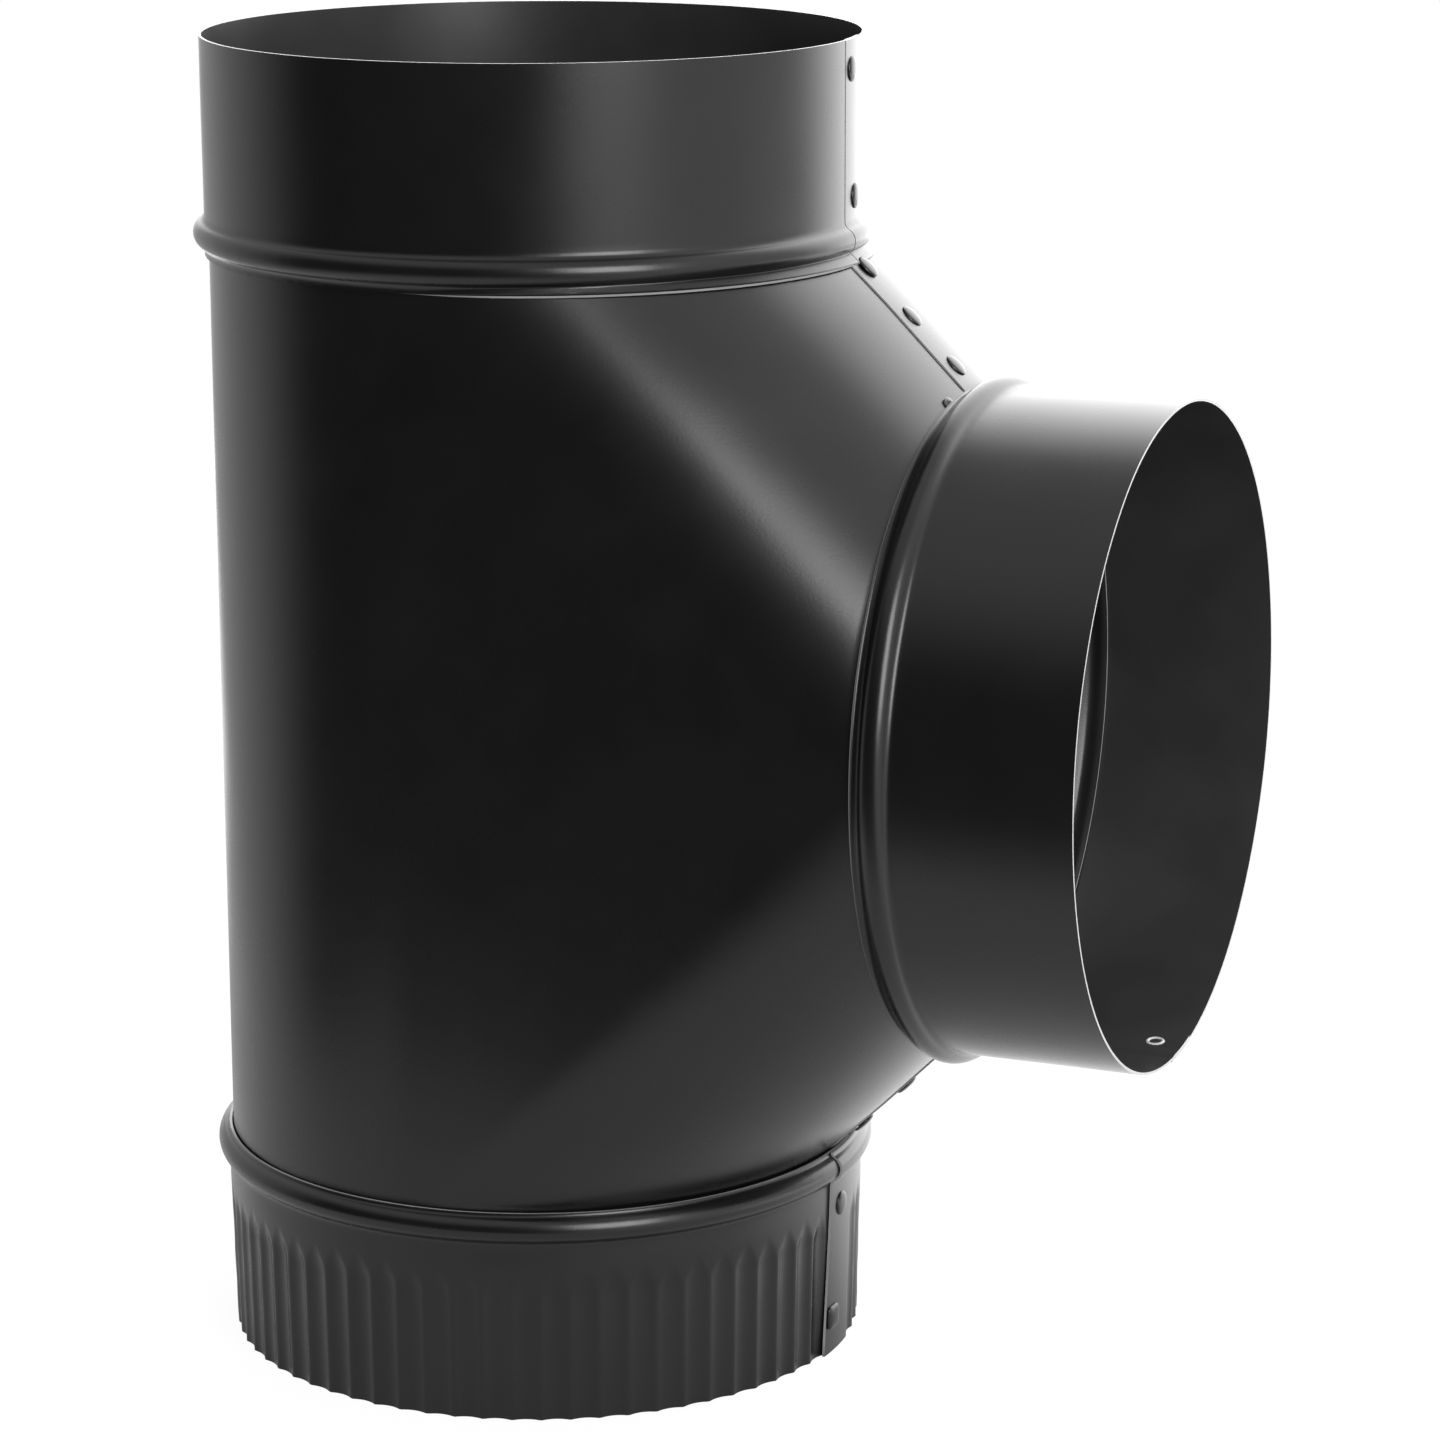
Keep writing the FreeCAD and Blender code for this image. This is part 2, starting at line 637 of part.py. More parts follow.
top_rivet_rise = size("top_bead_depth") - size("outer_rivet_depth")
branch_rivet_rise = size("branch_bead_depth") - size("outer_rivet_depth")
COLLAR_RIVETS = (
    ("top_rivet_upper", top_frame, "top_outer_inset", top_rivet_rise),
    ("top_rivet_lower", top_frame, "top_inner_inset", size("inner_rivet_rise")),
    ("branch_rivet_outer", branch_frame, "branch_inset", branch_rivet_rise),
    ("branch_rivet_inner", branch_frame, "branch_inset", size("inner_rivet_rise")),
    ("bottom_rivet_upper", bottom_frame, "bottom_high_inset", -size("bottom_rivet_drop")),
    ("bottom_rivet_lower", bottom_frame, "bottom_low_inset", size("bottom_rivet_low") - bottom_crest),
)
rivets = []
collar_holes = {"top": [], "branch": [], "bottom": []}
for label, collar, inset, height in COLLAR_RIVETS:
    owner = label.split("_")[0]
    tube_radius, step = collar_radius, 0
    if label == "bottom_rivet_upper":
        step = crimp_step
    if label == "bottom_rivet_lower":
        tube_radius = (collar_radius - crimp_step) * taper(size("bottom_rivet_low"))
    body, hole = collar_rivet(label, collar, size(inset), height, tube_radius, step)
    rivets.append(body)
    collar_holes[owner].append(hole)

slope_length = (fold - body_radius) * SLOPE
rivet_room = slope_length - size("crotch_rivet_start") - size("crotch_rivet_end")
crotch_rivets = 1 + math.floor(rivet_room / size("crotch_rivet_pitch"))
crotch_holes = []
top_tools = [slope_room]
for number in range(crotch_rivets):
    along = size("crotch_rivet_start") + number * size("crotch_rivet_pitch")
    point, normal, stack = crotch_point(size("crotch_rivet_inset"), along)
    for side in ("upper", "lower"):
        if side == "lower":
            point, normal = mirrored(point, branch_height), mirrored(normal, 0)
        body, hole = rivet("%s_crotch_rivet_%d" % (side, number + 1), point, normal, stack)
        rivets.append(body)
        crotch_holes.append(hole)
        if side == "upper" and number == 0:
            room_radius = "Sizes.rivet_head_radius + 2 * Sizes.rivet_clearance"
            room_height = "Sizes.bead_radius + Sizes.bead_rise"
            top_tools.append(cylinder("HeadRoom", room_radius, room_height, point, normal))

# Finished pieces

sheets = (
    boolean("Cut", "BodyShell", lapped_shell, lap_pockets + crotch_holes),
    boolean("Cut", "TopCollar", top_ring, top_tools + collar_holes["top"]),
    boolean("Cut", "BranchCollar", branch_roll, collar_holes["branch"]),
    boolean("Cut", "BottomCollar", bottom_ring, collar_holes["bottom"]),
)
for piece, label in zip(sheets, ("body_shell", "top_collar", "branch_collar", "bottom_collar")):
    piece.Label = label
doc.recompute()

pieces = list(sheets) + rivets
for item in doc.Objects:
    if "Invalid" in item.State or "Error" in item.State:
        raise RuntimeError("%s failed" % item.Name)
for piece in pieces:
    if piece.Shape.isNull() or not piece.Shape.isValid():
        raise RuntimeError("%s has no valid shape" % piece.Label)
os.makedirs("parts", exist_ok=True)
for piece in pieces:
    piece.Shape.exportStep("parts/%s.step" % piece.Label)
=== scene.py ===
import json
import math
import bmesh
import bpy
from mathutils import Matrix, Vector, noise

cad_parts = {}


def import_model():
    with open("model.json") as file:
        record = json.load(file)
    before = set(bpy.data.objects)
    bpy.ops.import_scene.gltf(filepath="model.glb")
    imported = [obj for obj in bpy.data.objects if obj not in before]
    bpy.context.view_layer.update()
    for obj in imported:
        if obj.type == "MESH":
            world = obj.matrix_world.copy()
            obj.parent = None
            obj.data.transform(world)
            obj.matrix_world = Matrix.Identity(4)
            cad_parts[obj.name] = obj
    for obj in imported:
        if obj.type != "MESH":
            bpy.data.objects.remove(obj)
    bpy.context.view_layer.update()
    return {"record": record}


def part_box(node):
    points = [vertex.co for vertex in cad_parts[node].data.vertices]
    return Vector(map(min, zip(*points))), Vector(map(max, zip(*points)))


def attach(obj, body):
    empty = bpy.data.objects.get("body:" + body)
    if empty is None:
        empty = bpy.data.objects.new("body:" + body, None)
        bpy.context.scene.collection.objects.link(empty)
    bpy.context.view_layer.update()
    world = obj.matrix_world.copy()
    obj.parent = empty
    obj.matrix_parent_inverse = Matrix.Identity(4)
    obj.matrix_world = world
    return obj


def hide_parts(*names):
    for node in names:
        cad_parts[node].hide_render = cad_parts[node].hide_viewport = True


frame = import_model()

# Sizes, in metres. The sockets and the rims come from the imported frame.
MM = 0.001
mounts = {mount["name"]: mount for mount in frame["record"]["mounts"]}
BORE = mounts["top_socket"]["dims"]["r_mm"] * MM
BRANCH_HEIGHT = mounts["branch_socket"]["pos_m"][2]
TOP_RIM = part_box("top_collar")[1].z
BRANCH_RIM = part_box("branch_collar")[1].x
GAUGE = 0.6 * MM
COLLAR_RADIUS = BORE + GAUGE
NEST_GAP = 0.4 * MM
BODY_RADIUS = BORE - NEST_GAP

# Folds of the body, at one distance from both axes, and the slopes' sinking under the run's collars
FOLD = 108 * MM
TOP_FOLD = BRANCH_HEIGHT + FOLD
BOTTOM_FOLD = BRANCH_HEIGHT - FOLD
SLOPE_SINK = 0.6 * MM
SINK_SIDES = (0, 0.7)
SINK_FADE = (0.05, 0.45)

# Beads, and the lips turned at the socket collars' inner edges. Turns are in degrees.
BEAD_DEPTH = 45.5 * MM
TOP_CREST = TOP_RIM - BEAD_DEPTH
BRANCH_CREST = BRANCH_RIM - BEAD_DEPTH
BOTTOM_CREST = 46.8 * MM
BEAD_RADIUS = 3.2 * MM
BEAD_HEIGHT = 2.6 * MM
BEAD_CENTRE = COLLAR_RADIUS + BEAD_HEIGHT - BEAD_RADIUS
BEAD_FILLET = 2.0 * MM
EDGE_FILLET = 1.0 * MM
UPRIGHT = 180
EDGE_TURN = 175
LIP_RADIUS = 0.7 * MM
LIP_TURN = 50
LIP_START = -2.5 * MM
LIP_SIDES = (-0.1, 0.4)
LIP_SHORTENING = 0.2

# Gap between the top collar's skirt and the slope, and the skirt's ragged edge
SKIRT_GAP = 0.1 * MM
RAGGEDNESS = 0.07 * MM
RAGS_AROUND = 40

# Necks inside the collars, which bulge into the beads
NECK_PAST_BEAD = 4.5 * MM
NECK_BULGE = 1.9 * MM
NECK_END = 0.5 * MM

# Unevenness of the rolled sheet, and the rollers' marks on the beads
WAVINESS = 0.14 * MM
WAVES_AROUND = 3
WAVE_LENGTH = 35 * MM
ROLLER_MARKS = 0.015 * MM
MARKS_AROUND = 40
MARK_LENGTH = 3 * MM
MARKS_FADE = (4 * MM, 7 * MM)

# Seams. Each outer layer starts at a cut edge and comes back to the round in a turn of sixty degrees.
LAP_TURN = math.radians(60)
LAP_WIDTH = 14 * MM
GIVE_TURN = 0.04
TOP_LAP = 0.15 * GAUGE
BRANCH_LAP = 0.6 * GAUGE
BOTTOM_LAP = 1.3 * GAUGE
CROTCH_LAP = 0.6 * GAUGE
CROTCH_START_FADE = (0, 0.05)
CROTCH_END_FADE = (0.97, 1)
TOP_CUT = math.radians(1.5)
BRANCH_CUT = 0.0
BOTTOM_CUT = math.radians(-4.2)
BOTTOM_CUT_SLANT = math.radians(-1.8)
CROTCH_CUT = math.asin(-2 * MM / BODY_RADIUS)

# Crimps of the lower end
CRIMP_COUNT = 70
CRIMP_PITCH = 2 * math.pi / CRIMP_COUNT
CRIMP_CREST = math.radians(-10.2)
CRIMP_FREE = math.radians(9)
CRIMP_TOP = 37.5 * MM
CRIMP_TOP_SPREAD = 1.2 * MM
CRIMP_OVERRUN = 0.4 * MM
CRIMP_FADE = 8 * MM
CRIMP_WIDENING = (-0.2, 1)
CRIMP_DEPTH = 0.9 * MM
CRIMP_DEPTH_SPREAD = 0.15
CRIMP_NOISE = Vector((3.7, 0, 0))
CRIMP_NOISE_START = Vector((0, 1.3, 0.2))
VALLEY_ROUNDNESS = 0.01
CREST_SOFTNESS = 0.5
CREST_POWER = 6
CRIMPED_RIM_RADIUS = 76.0 * MM

# Knob pressed up out of the upper slope
KNOB_RADIUS = 1.6 * MM
KNOB_RISE = 0.4 * MM
KNOB_SINK = 0.05 * MM
KNOB_TURN = math.radians(-9.6)
KNOB_SHARE = 0.985

# Rivets. An inset is the distance from a seam's cut edge, and corners is more than two for a square head.
HEAD_RADIUS = 2.9 * MM
HEAD_RISE = 0.85 * MM
HEAD_FLATNESS = 0.8
HEAD_SINK = 0.05 * MM
SHANK_RADIUS = 1.6 * MM
TAIL_RADIUS = 2.3 * MM
TAIL_RISE = 0.5 * MM
MOUTH_RADIUS = 1.3 * MM
ROUND_CORNERS = 2
SQUARE_CORNERS = 5
RIM_RIVET = BEAD_DEPTH - 6.8 * MM
BEAD_RIVET = BEAD_DEPTH - 36 * MM
HIGH_RIVET = 36.6 * MM - BOTTOM_CREST
LOW_RIVET = 9.1 * MM - BOTTOM_CREST
LOW_RIVET_RADIUS = CRIMPED_RIM_RADIUS + 0.4 * MM
TOP_UPPER_INSET = 4.4 * MM
TOP_LOWER_INSET = 7.6 * MM
BRANCH_INSET = 9.1 * MM
BOTTOM_UPPER_INSET = 5.9 * MM
BOTTOM_LOWER_INSET = 3.4 * MM
CROTCH_INSET = 6.5 * MM
CROTCH_START = 7.6 * MM
CROTCH_PITCH = 15.2 * MM
CROTCH_RIVETS = 3

# Fineness of the meshes
WHOLE_COLUMNS = 540
CRIMP_COLUMNS = 740
ROUND_COLUMNS = 64
RIVET_COLUMNS = 32
KNOB_COLUMNS = 24
RIM_ROWS = 24
BEAD_ROWS = 9
FILLET_ROWS = 6
LIP_ROWS = 5
TUBE_ROWS = 3
CRIMP_TOP_ROWS = 14
CRIMP_TOP_BAND = 8 * MM
CRIMP_ROWS = 8
SLOPE_ROWS = 48
SIDE_ROWS = 2 * SLOPE_ROWS
NECK_ROWS = 24
KNOB_ROWS = 6
HEAD_ROWS = 12
TAIL_ROWS = 8
WELD = 0.001 * MM
POINTS_PER_METRE = 1e7

ALONG_RUN = Matrix.Identity(3)
ALONG_BRANCH = Matrix(((0, 0, 1), (0, 1, 0), (-1, 0, 0)))
CENTRE_TOP = Vector((0, 0, TOP_CREST))
CENTRE_BRANCH = Vector((BRANCH_CREST, 0, BRANCH_HEIGHT))
CENTRE_BOTTOM = Vector((0, 0, BOTTOM_CREST))


def smooth(low, high, value):
    """0 up to low, 1 from high on, with no corner in between."""
    share = min(max((value - low) / (high - low), 0), 1)
    return share * share * (3 - 2 * share)


def steps(start, end, count):
    return [start + (end - start) * index / count for index in range(count + 1)]


def place(name, data):
    piece = bpy.data.objects.new(name, data)
    bpy.context.scene.collection.objects.link(piece)
    return piece


# Materials

MOTTLE_SCALE = 45.0
MOTTLE_DETAIL = 5.0
MOTTLE_RANGE = (0.3, 0.75)
GRAIN_SCALE = 1600.0
GRAIN_DETAIL = 3.0
GRAIN_DEPTH = 0.05 * MM
SHEEN_BELOW = 0.03
SHEEN_ABOVE = 0.04


def empty_tree(owner):
    owner.use_nodes = True
    owner.node_tree.nodes.clear()
    return owner.node_tree


def add(tree, kind, inputs=(), **settings):
    """Node with its settings, and with each named input linked to a socket or set to a value."""
    node = tree.nodes.new(kind)
    for name, value in settings.items():
        setattr(node, name, value)
    for name, value in inputs:
        if isinstance(value, bpy.types.NodeSocket):
            tree.links.new(value, node.inputs[name])
        else:
            node.inputs[name].default_value = value
    return node


def paint(name, dark, light, roughness, grain):
    """Satin stove paint: slight mottling in its colour and sheen, and a fine grain."""
    material = bpy.data.materials.new(name)
    tree = empty_tree(material)
    spot = add(tree, "ShaderNodeTexCoord").outputs["Object"]
    mottle = add(
        tree,
        "ShaderNodeTexNoise",
        (("Vector", spot), ("Scale", MOTTLE_SCALE), ("Detail", MOTTLE_DETAIL)),
    )
    colour = add(tree, "ShaderNodeValToRGB", (("Fac", mottle.outputs["Fac"]),))
    for element, position, grey in zip(colour.color_ramp.elements, MOTTLE_RANGE, (dark, light)):
        element.position = position
        element.color = (grey, grey, grey, 1)
    sheen = add(
        tree,
        "ShaderNodeMapRange",
        (
            ("Value", mottle.outputs["Fac"]),
            ("To Min", roughness - SHEEN_BELOW),
            ("To Max", roughness + SHEEN_ABOVE),
        ),
    )
    fine = add(
        tree,
        "ShaderNodeTexNoise",
        (("Vector", spot), ("Scale", GRAIN_SCALE), ("Detail", GRAIN_DETAIL)),
    )
    bump = add(
        tree,
        "ShaderNodeBump",
        (("Height", fine.outputs["Fac"]), ("Strength", grain), ("Distance", GRAIN_DEPTH)),
    )
    shader = add(
        tree,
        "ShaderNodeBsdfPrincipled",
        (
            ("Base Color", colour.outputs["Color"]),
            ("Roughness", sheen.outputs["Result"]),
            ("Normal", bump.outputs["Normal"]),
        ),
    )
    add(tree, "ShaderNodeOutputMaterial", (("Surface", shader.outputs["BSDF"]),))
    return material


SHEET_PAINT = paint("sheet_paint", 0.003, 0.005, 0.27, 0.25)
# Cut edges: light grey of bare metal, which also paints the thin highlight lines along the edges.
BARE_EDGE_AND_HIGHLIGHT = paint("edge_paint", 0.28, 0.38, 0.35, 0.2)
INSIDE_PAINT = paint("inside_paint", 0.022, 0.032, 0.32, 0.3)
RIVET_PAINT = paint("rivet_paint", 0.003, 0.005, 0.27, 0.25)
# Spread rivet ends: light grey of bare steel, which also paints the bright ring highlight on them.
BARE_STEEL_AND_HIGHLIGHT = paint("bare_steel", 0.45, 0.6, 0.3, 0.2)


# Sheets

def grid_mesh(name, rows):
    """Mesh over rows of points."""
    width = len(rows[0])
    points = [point for row in rows for point in row]
    faces = []
    for row in range(len(rows) - 1):
        for column in range(width - 1):
            corner = row * width + column
            faces.append((corner, corner + 1, corner + width + 1, corner + width))
    mesh = bpy.data.meshes.new(name)
    mesh.from_pydata(points, [], faces)
    return mesh


def smoothed(mesh):
    """Joins points that fall together and shades the skin smoothly, with sharp borders."""
    skin = bmesh.new()
    skin.from_mesh(mesh)
    bmesh.ops.remove_doubles(skin, verts=skin.verts, dist=WELD)
    for face in skin.faces:
        face.smooth = True
    for edge in skin.edges:
        edge.smooth = not edge.is_boundary
    skin.to_mesh(mesh)
    skin.free()


def finish_sheet(name, mesh, node):
    """Gives a skin its thickness, inwards, with cut edges in a light grey that is partly bare metal and
    partly a painted highlight, in the place of a CAD node.
    """
    smoothed(mesh)
    mesh.materials.append(SHEET_PAINT)
    mesh.materials.append(INSIDE_PAINT)
    mesh.materials.append(BARE_EDGE_AND_HIGHLIGHT)
    piece = place(name, mesh)
    thick = piece.modifiers.new("gauge", "SOLIDIFY")
    thick.thickness = GAUGE
    thick.offset = -1
    thick.use_even_offset = True
    thick.use_rim = True
    thick.material_offset = 1
    # The rims take the light grey edge colour: bare metal and a painted highlight in one.
    thick.material_offset_rim = 2
    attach(piece, "root")
    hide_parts(node)


def arc_points(centre, radius, start, end, count):
    """Points (radius, along) of an arc in a section, with angles in degrees."""
    points = []
    for angle in steps(math.radians(start), math.radians(end), count):
        points.append((centre[0] + radius * math.cos(angle), centre[1] + radius * math.sin(angle)))
    return points


def bead_foot(fillet):
    """Height over the crest at which a bead's fillet meets the plain sheet."""
    return math.sqrt((BEAD_RADIUS + fillet) ** 2 - (COLLAR_RADIUS + fillet - BEAD_CENTRE) ** 2)


def half_bead(fillet, start):
    """Outer skin of a bead's upper half, downwards from its fillet, where that has turned to start."""
    foot = bead_foot(fillet)
    lean = math.degrees(math.atan2(foot, COLLAR_RADIUS + fillet - BEAD_CENTRE))
    points = arc_points((COLLAR_RADIUS + fillet, foot), fillet, start, UPRIGHT + lean, FILLET_ROWS)
    return points[:-1] + arc_points((BEAD_CENTRE, 0), BEAD_RADIUS, lean, 0, BEAD_ROWS)


def bead_points(fillet, start):
    lower = [(radius, -along) for radius, along in half_bead(BEAD_FILLET, UPRIGHT)]
    return half_bead(fillet, start) + lower[-2::-1]


BEAD_FOOT = bead_foot(BEAD_FILLET)


def lap_rise(turn, radius, lap):
    """Height of a seam's outer layer over the round, at a turn from its cut edge, where it is lap."""
    if turn >= LAP_TURN:
        return 0
    shift = lap / (1 - math.cos(LAP_TURN))
    left = LAP_TURN - turn
    centre = shift * math.cos(left)
    return math.sqrt((radius + shift) ** 2 - (shift * math.sin(left)) ** 2) - centre - radius


def waviness(angle, along):
    """Slight unevenness of the rolled sheet, with finer marks of the rollers on its bead."""
    around = Vector((math.cos(angle), math.sin(angle), 0))
    rolled = noise.noise(around * WAVES_AROUND + Vector((0, 0, along / WAVE_LENGTH)))
    marks = noise.noise(around * MARKS_AROUND + Vector((0, 0, along / MARK_LENGTH)))
    return WAVINESS * rolled + ROLLER_MARKS * marks * (1 - smooth(*MARKS_FADE, abs(along)))


def collar(name, node, crest, turn_to, section, cut, shape, lap, columns):
    """Strip rolled once round, from its cut edge to its end, which gives way a little under the lap.

    cut(along) gives the cut edge's angle, and shape(angle, radius, along) the skin's radius and place."""
    whole = 2 * math.pi + LAP_WIDTH / COLLAR_RADIUS
    rows = []
    for turn in steps(0, whole, columns):
        give = max(GAUGE - lap, 0) * smooth(2 * math.pi, 2 * math.pi + GIVE_TURN, turn)
        row = []
        for radius, along in section:
            angle = cut(along) + turn
            height, level = shape(angle, radius, along)
            height += lap_rise(turn, radius, lap) + waviness(angle, along) - give
            point = Vector((math.cos(angle) * height, math.sin(angle) * height, level))
            row.append(turn_to @ point + crest)
        rows.append(row)
    finish_sheet(name, grid_mesh(name, rows), node)


def plain(angle, radius, along):
    return radius, along


def slope_radius(angle, past, drop):
    """Radius, seen from the run's axis, of the upper slope offset outwards, at a drop below the fold."""
    radius = BODY_RADIUS + past
    centre = drop + (math.sqrt(2) - 1) * past
    under = radius ** 2 - (centre * math.sin(angle)) ** 2
    return centre * math.cos(angle) + math.sqrt(max(under, 0))


def sunk(angle, share):
    """How far the body's slopes lie inwards where they start under the collars of the run."""
    return SLOPE_SINK * smooth(*SINK_SIDES, math.cos(angle)) * (1 - smooth(*SINK_FADE, share))


def flared(angle, radius, along):
    """Skirt of the top collar, which lies on the slope towards the branch, a little ragged."""
    slope_side = max(math.cos(angle), 0)
    level = along
    if along < LIP_START:
        level = LIP_START + (along - LIP_START) * (1 - LIP_SHORTENING * slope_side)
    drop = TOP_FOLD - TOP_CREST - level
    if along > 0 or drop < 0:
        return radius, level
    slope = slope_radius(angle, GAUGE + SKIRT_GAP, drop) - sunk(angle, drop / (FOLD - BODY_RADIUS))
    if along >= -BEAD_FOOT:
        return max(radius, slope), level
    around = Vector((RAGS_AROUND * math.cos(angle), RAGS_AROUND * math.sin(angle), 0))
    ragged = RAGGEDNESS * noise.noise(around)
    lip = (radius - COLLAR_RADIUS) * smooth(*LIP_SIDES, math.cos(angle)) + ragged
    return max(COLLAR_RADIUS + lip, slope + lip), level


def socket_section():
    rim = [(COLLAR_RADIUS, height) for height in steps(BEAD_DEPTH, BEAD_FOOT, RIM_ROWS)[:-1]]
    lip_centre = (COLLAR_RADIUS + LIP_RADIUS, -BEAD_FOOT)
    lip = arc_points(lip_centre, LIP_RADIUS, UPRIGHT, UPRIGHT + LIP_TURN, LIP_ROWS)
    return rim + bead_points(BEAD_FILLET, UPRIGHT) + lip[1:]


def crimp_dip(angle, height):
    """How far a crimp's valley lies under its crests, with a rounded top."""
    start = BOTTOM_CUT + CRIMP_FREE
    first = CRIMP_CREST + CRIMP_PITCH * math.ceil((start - CRIMP_CREST) / CRIMP_PITCH)
    last = CRIMP_CREST + CRIMP_PITCH * math.floor((BOTTOM_CUT + 2 * math.pi - CRIMP_CREST) / CRIMP_PITCH)
    if not first < angle < last:
        return 0
    number = math.floor((angle - CRIMP_CREST) / CRIMP_PITCH)
    phase = (angle - CRIMP_CREST) / CRIMP_PITCH - number
    across = math.sqrt((2 * phase - 1) ** 2 + VALLEY_ROUNDNESS) / math.sqrt(1 + VALLEY_ROUNDNESS)
    uneven = noise.noise(CRIMP_NOISE * number + CRIMP_NOISE_START)
    down = (CRIMP_TOP + CRIMP_OVERRUN + CRIMP_TOP_SPREAD * uneven - height) / CRIMP_FADE
    width = smooth(*CRIMP_WIDENING, down)
    if across >= width:
        return 0
    soft = 1 - CREST_SOFTNESS * (across / width) ** CREST_POWER
    return CRIMP_DEPTH * (1 + CRIMP_DEPTH_SPREAD * uneven) * (width ** 2 - across ** 2) * soft


def crimped(angle, radius, along):
    height = along + BOTTOM_CREST
    if height >= CRIMP_TOP:
        return radius, along
    taper = (CRIMP_TOP - height) / CRIMP_TOP * (COLLAR_RADIUS - CRIMPED_RIM_RADIUS)
    return radius - taper - crimp_dip(angle, height), along


def bottom_section():
    depths = steps(BEAD_FOOT, BOTTOM_CREST - CRIMP_TOP, TUBE_ROWS)[1:]
    tube = [(COLLAR_RADIUS, -depth) for depth in depths]
    band_end = CRIMP_TOP - CRIMP_TOP_BAND
    heights = steps(CRIMP_TOP, band_end, CRIMP_TOP_ROWS)[1:] + steps(band_end, 0, CRIMP_ROWS)[1:]
    flutes = [(COLLAR_RADIUS, height - BOTTOM_CREST) for height in heights]
    return bead_points(EDGE_FILLET, EDGE_TURN) + tube + flutes


def bottom_cut(along):
    return BOTTOM_CUT - BOTTOM_CUT_SLANT * along / BOTTOM_CREST


collar("top_collar_sheet", "top_collar", CENTRE_TOP, ALONG_RUN, socket_section(),
       lambda along: TOP_CUT, flared, TOP_LAP, WHOLE_COLUMNS)
collar("branch_collar_sheet", "branch_collar", CENTRE_BRANCH, ALONG_BRANCH, socket_section(),
       lambda along: BRANCH_CUT, plain, BRANCH_LAP, WHOLE_COLUMNS)
collar("bottom_collar_sheet", "bottom_collar", CENTRE_BOTTOM, ALONG_RUN, bottom_section(),
       bottom_cut, crimped, BOTTOM_LAP, CRIMP_COLUMNS)


# Body

def slope_point(angle, share, side, rise):
    """Point on the upper (side 1) or lower (side -1) slope, a share of the way to the branch."""
    radius = BODY_RADIUS + rise
    start = Vector((radius * math.cos(angle), radius * math.sin(angle), side * FOLD))
    end = Vector((FOLD, radius * math.sin(angle), side * radius * math.cos(angle)))
    return start.lerp(end, share) + Vector((0, 0, BRANCH_HEIGHT))


def slope_rise(turn, share):
    """Rise of a crotch seam's outer layer, which dies out under the collars."""
    ends = smooth(*CROTCH_START_FADE, share) * (1 - smooth(*CROTCH_END_FADE, share))
    return lap_rise(turn, BODY_RADIUS, CROTCH_LAP) * math.sqrt(2) * ends


def neck_places(crest):
    """Places along a neck, from the fold to its end past the crest, and its bulge into the bead there."""
    places = []
    for along in steps(0, crest + NECK_PAST_BEAD, NECK_ROWS):
        places.append((along, NECK_BULGE * (1 - smooth(0, NECK_PAST_BEAD - NECK_END, abs(along - crest)))))
    return places


def neck_rows(fold_points, axis, crest):
    """Rows of points of a neck about its axis, without the one at the fold."""
    rows = []
    for along, bulge in neck_places(crest)[1:]:
        row = []
        for point in fold_points:
            arm = point - Vector((0, 0, BRANCH_HEIGHT))
            arm -= axis * arm.dot(axis)
            row.append(point + axis * along + arm.normalized() * bulge)
        rows.append(row)
    return rows


def slope_sheet(side, angles, cut):
    """Part of a slope with its necks. cut is the angle of the outer layer's edge, or None."""
    rows = []
    for share in steps(0, 1, SLOPE_ROWS):
        row = []
        for angle in angles:
            rise = 0 if cut is None else slope_rise(angle - cut, share)
            row.append(slope_point(angle, share, side, rise - sunk(angle, share)))
        rows.append(row)
    crest = (TOP_CREST - TOP_FOLD) if side > 0 else (BOTTOM_FOLD - BOTTOM_CREST)
    run_neck = neck_rows(rows[0], Vector((0, 0, side)), crest)
    branch_neck = neck_rows(rows[-1], Vector((1, 0, 0)), BRANCH_CREST - FOLD)
    return run_neck[::-1] + rows + branch_neck


def flat_side(y):
    """Columns of points of the triangular flat side at y."""
    columns = []
    for share in steps(0, 1, SLOPE_ROWS):
        half = FOLD * (1 - share)
        heights = steps(BRANCH_HEIGHT + half, BRANCH_HEIGHT - half, SIDE_ROWS)
        columns.append([Vector((FOLD * share, y, height)) for height in heights])
    return columns


def round_back():
    """Rows of points of the half round away from the branch, downwards, with both necks of the run."""
    levels = [(TOP_FOLD + along, bulge) for along, bulge in neck_places(TOP_CREST - TOP_FOLD)[:0:-1]]
    levels += [(level, 0) for level in steps(TOP_FOLD, BOTTOM_FOLD, SIDE_ROWS)]
    levels += [(BOTTOM_FOLD - along, bulge) for along, bulge in neck_places(BOTTOM_FOLD - BOTTOM_CREST)[1:]]
    angles = steps(math.pi / 2, 3 * math.pi / 2, ROUND_COLUMNS)
    rows = []
    for level, bulge in levels:
        radius = BODY_RADIUS + bulge
        rows.append([Vector((radius * math.cos(angle), radius * math.sin(angle), level)) for angle in angles])
    return rows


def knob():
    """Small knob pressed up out of the upper slope, beside the branch collar."""
    centre = slope_point(KNOB_TURN, KNOB_SHARE, 1, 0)
    outward = Vector((math.cos(KNOB_TURN), math.sin(KNOB_TURN), math.cos(KNOB_TURN)))
    turn = outward.to_track_quat("Z", "Y")
    rows = []
    for around in steps(0, 2 * math.pi, KNOB_COLUMNS):
        row = []
        for share in steps(0, 1, KNOB_ROWS):
            height = KNOB_RISE * (1 - share ** 2) ** 2 - KNOB_SINK * share
            flat = KNOB_RADIUS * share
            row.append(centre + turn @ Vector((flat * math.cos(around), flat * math.sin(around), height)))
        rows.append(row)
    return rows


